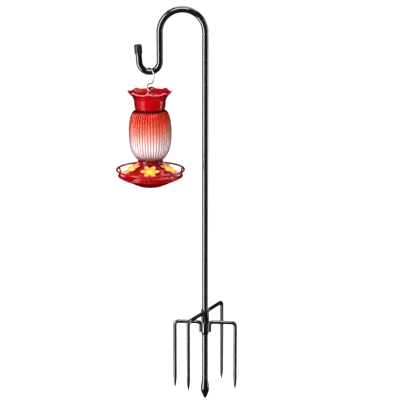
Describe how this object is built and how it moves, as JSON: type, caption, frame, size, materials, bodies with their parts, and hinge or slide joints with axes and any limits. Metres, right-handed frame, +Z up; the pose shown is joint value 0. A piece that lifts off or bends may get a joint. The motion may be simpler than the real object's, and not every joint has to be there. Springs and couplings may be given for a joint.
{
  "type": "bird feeder on pole",
  "caption": "Glass nectar feeder with a ruffled crown and a flowered dish, hung by an S-hook from a black garden hook on a five-pointed ground spike.",
  "frame": {"origin": "on the pole's axis at ground level, just under the lower prong arms", "axes": "+Z up along the pole; the hook and the feeder reach towards -X; -Y faces a person looking at the front"},
  "size_m": [0.3042, 0.1753, 1.0133],
  "materials": {
    "black_enamel": "gloss black enamel on steel tube and rod",
    "black_plastic": "smooth black plastic",
    "bright_wire": "bright drawn steel wire",
    "bright_steel": "zinc-plated steel",
    "black_rubber": "matt rubber",
    "red_glass": "deep red coloured glass with a clear pink edge",
    "shaded_glass": "ribbed glass shaded from orange-red at the top to clear at the bottom",
    "pale_seal": "pale silicone",
    "red_plastic": "high gloss red",
    "flower_plastic": "satin yellow, orange towards the petal tips"
  },
  "bodies": {
    "spike_base": {"prong_hub": "black_enamel", "spike_tube": "black_enamel", "spike_tip": "black_enamel", "prong_left": "black_enamel", "prong_right": "black_enamel", "prong_front": "black_enamel", "prong_back": "black_enamel"},
    "bush": {"pole_bush": "black_plastic"},
    "pole": {"pole_tube": "black_enamel"},
    "hook": {"hook_tube": "black_enamel"},
    "end_cap": {"hook_end_cap": "black_plastic"},
    "s_hook": {"s_hook": "bright_wire"},
    "feeder": {"eye_bolt": "bright_steel", "hanger_nuts": "bright_steel", "hanger_washers": "bright_steel", "hanger_seals": "black_rubber", "glass_crown": "red_glass", "glass_bottle": "shaded_glass"},
    "mouth_seal": {"bottle_seal": "pale_seal"},
    "base": {"base_cover": "red_plastic", "bowl_seal": "pale_seal"},
    "bowl": {"base_bowl": "red_plastic", "perch_ring": "red_plastic"},
    "flower_1": {"flower_1": "flower_plastic"},
    "flower_2": {"flower_2": "flower_plastic"},
    "flower_3": {"flower_3": "flower_plastic"},
    "flower_4": {"flower_4": "flower_plastic"},
    "flower_5": {"flower_5": "flower_plastic"}
  },
  "joints": [
    {"name": "pole_lift", "type": "slide", "parent": "spike_base", "child": "bush", "axis": [0, 0, 1], "range_m": [0, 0.045]},
    {"name": "pole_turn", "type": "hinge", "parent": "bush", "child": "pole", "pos_m": [0, 0, 0.02], "axis": [0, 0, 1], "continuous": true},
    {"name": "hook_lift", "type": "slide", "parent": "pole", "child": "hook", "axis": [0, 0, 1], "range_m": [0, 0.042]},
    {"name": "cap_pull", "type": "slide", "parent": "hook", "child": "end_cap", "axis": [-0.0785, 0, 0.9969], "range_m": [0, 0.022]},
    {"name": "s_hook_swing", "type": "hinge", "parent": "hook", "child": "s_hook", "pos_m": [-0.136, 0, 0.654], "axis": [1, 0, 0], "range_deg": [-35, 35]},
    {"name": "feeder_swing", "type": "hinge", "parent": "s_hook", "child": "feeder", "pos_m": [-0.136, 0, 0.6032], "axis": [0.5592, -0.829, 0], "range_deg": [-30, 14]},
    {"name": "base_drop", "type": "slide", "parent": "feeder", "child": "mouth_seal", "axis": [0, 0, -1], "range_m": [0, 0.0081]},
    {"name": "base_unscrew", "type": "hinge", "parent": "mouth_seal", "child": "base", "pos_m": [-0.136, 0, 0.434], "axis": [0, 0, -1], "range_deg": [0, 720]},
    {"name": "bowl_pull", "type": "slide", "parent": "base", "child": "bowl", "axis": [0, 0, -1], "range_m": [0, 0.03]},
    {"name": "flower_1_pull", "type": "slide", "parent": "base", "child": "flower_1", "axis": [0, -0.4147, 0.91], "range_m": [0, 0.012]},
    {"name": "flower_2_pull", "type": "slide", "parent": "base", "child": "flower_2", "axis": [0.3944, -0.1281, 0.91], "range_m": [0, 0.012]},
    {"name": "flower_3_pull", "type": "slide", "parent": "base", "child": "flower_3", "axis": [0.2438, 0.3355, 0.91], "range_m": [0, 0.012]},
    {"name": "flower_4_pull", "type": "slide", "parent": "base", "child": "flower_4", "axis": [-0.2438, 0.3355, 0.91], "range_m": [0, 0.012]},
    {"name": "flower_5_pull", "type": "slide", "parent": "base", "child": "flower_5", "axis": [-0.3944, -0.1281, 0.91], "range_m": [0, 0.012]}
  ],
  "couplings": [
    {"joint": "base_drop", "follows": "base_unscrew", "m_per_rad": 0.00063662}
  ]
}
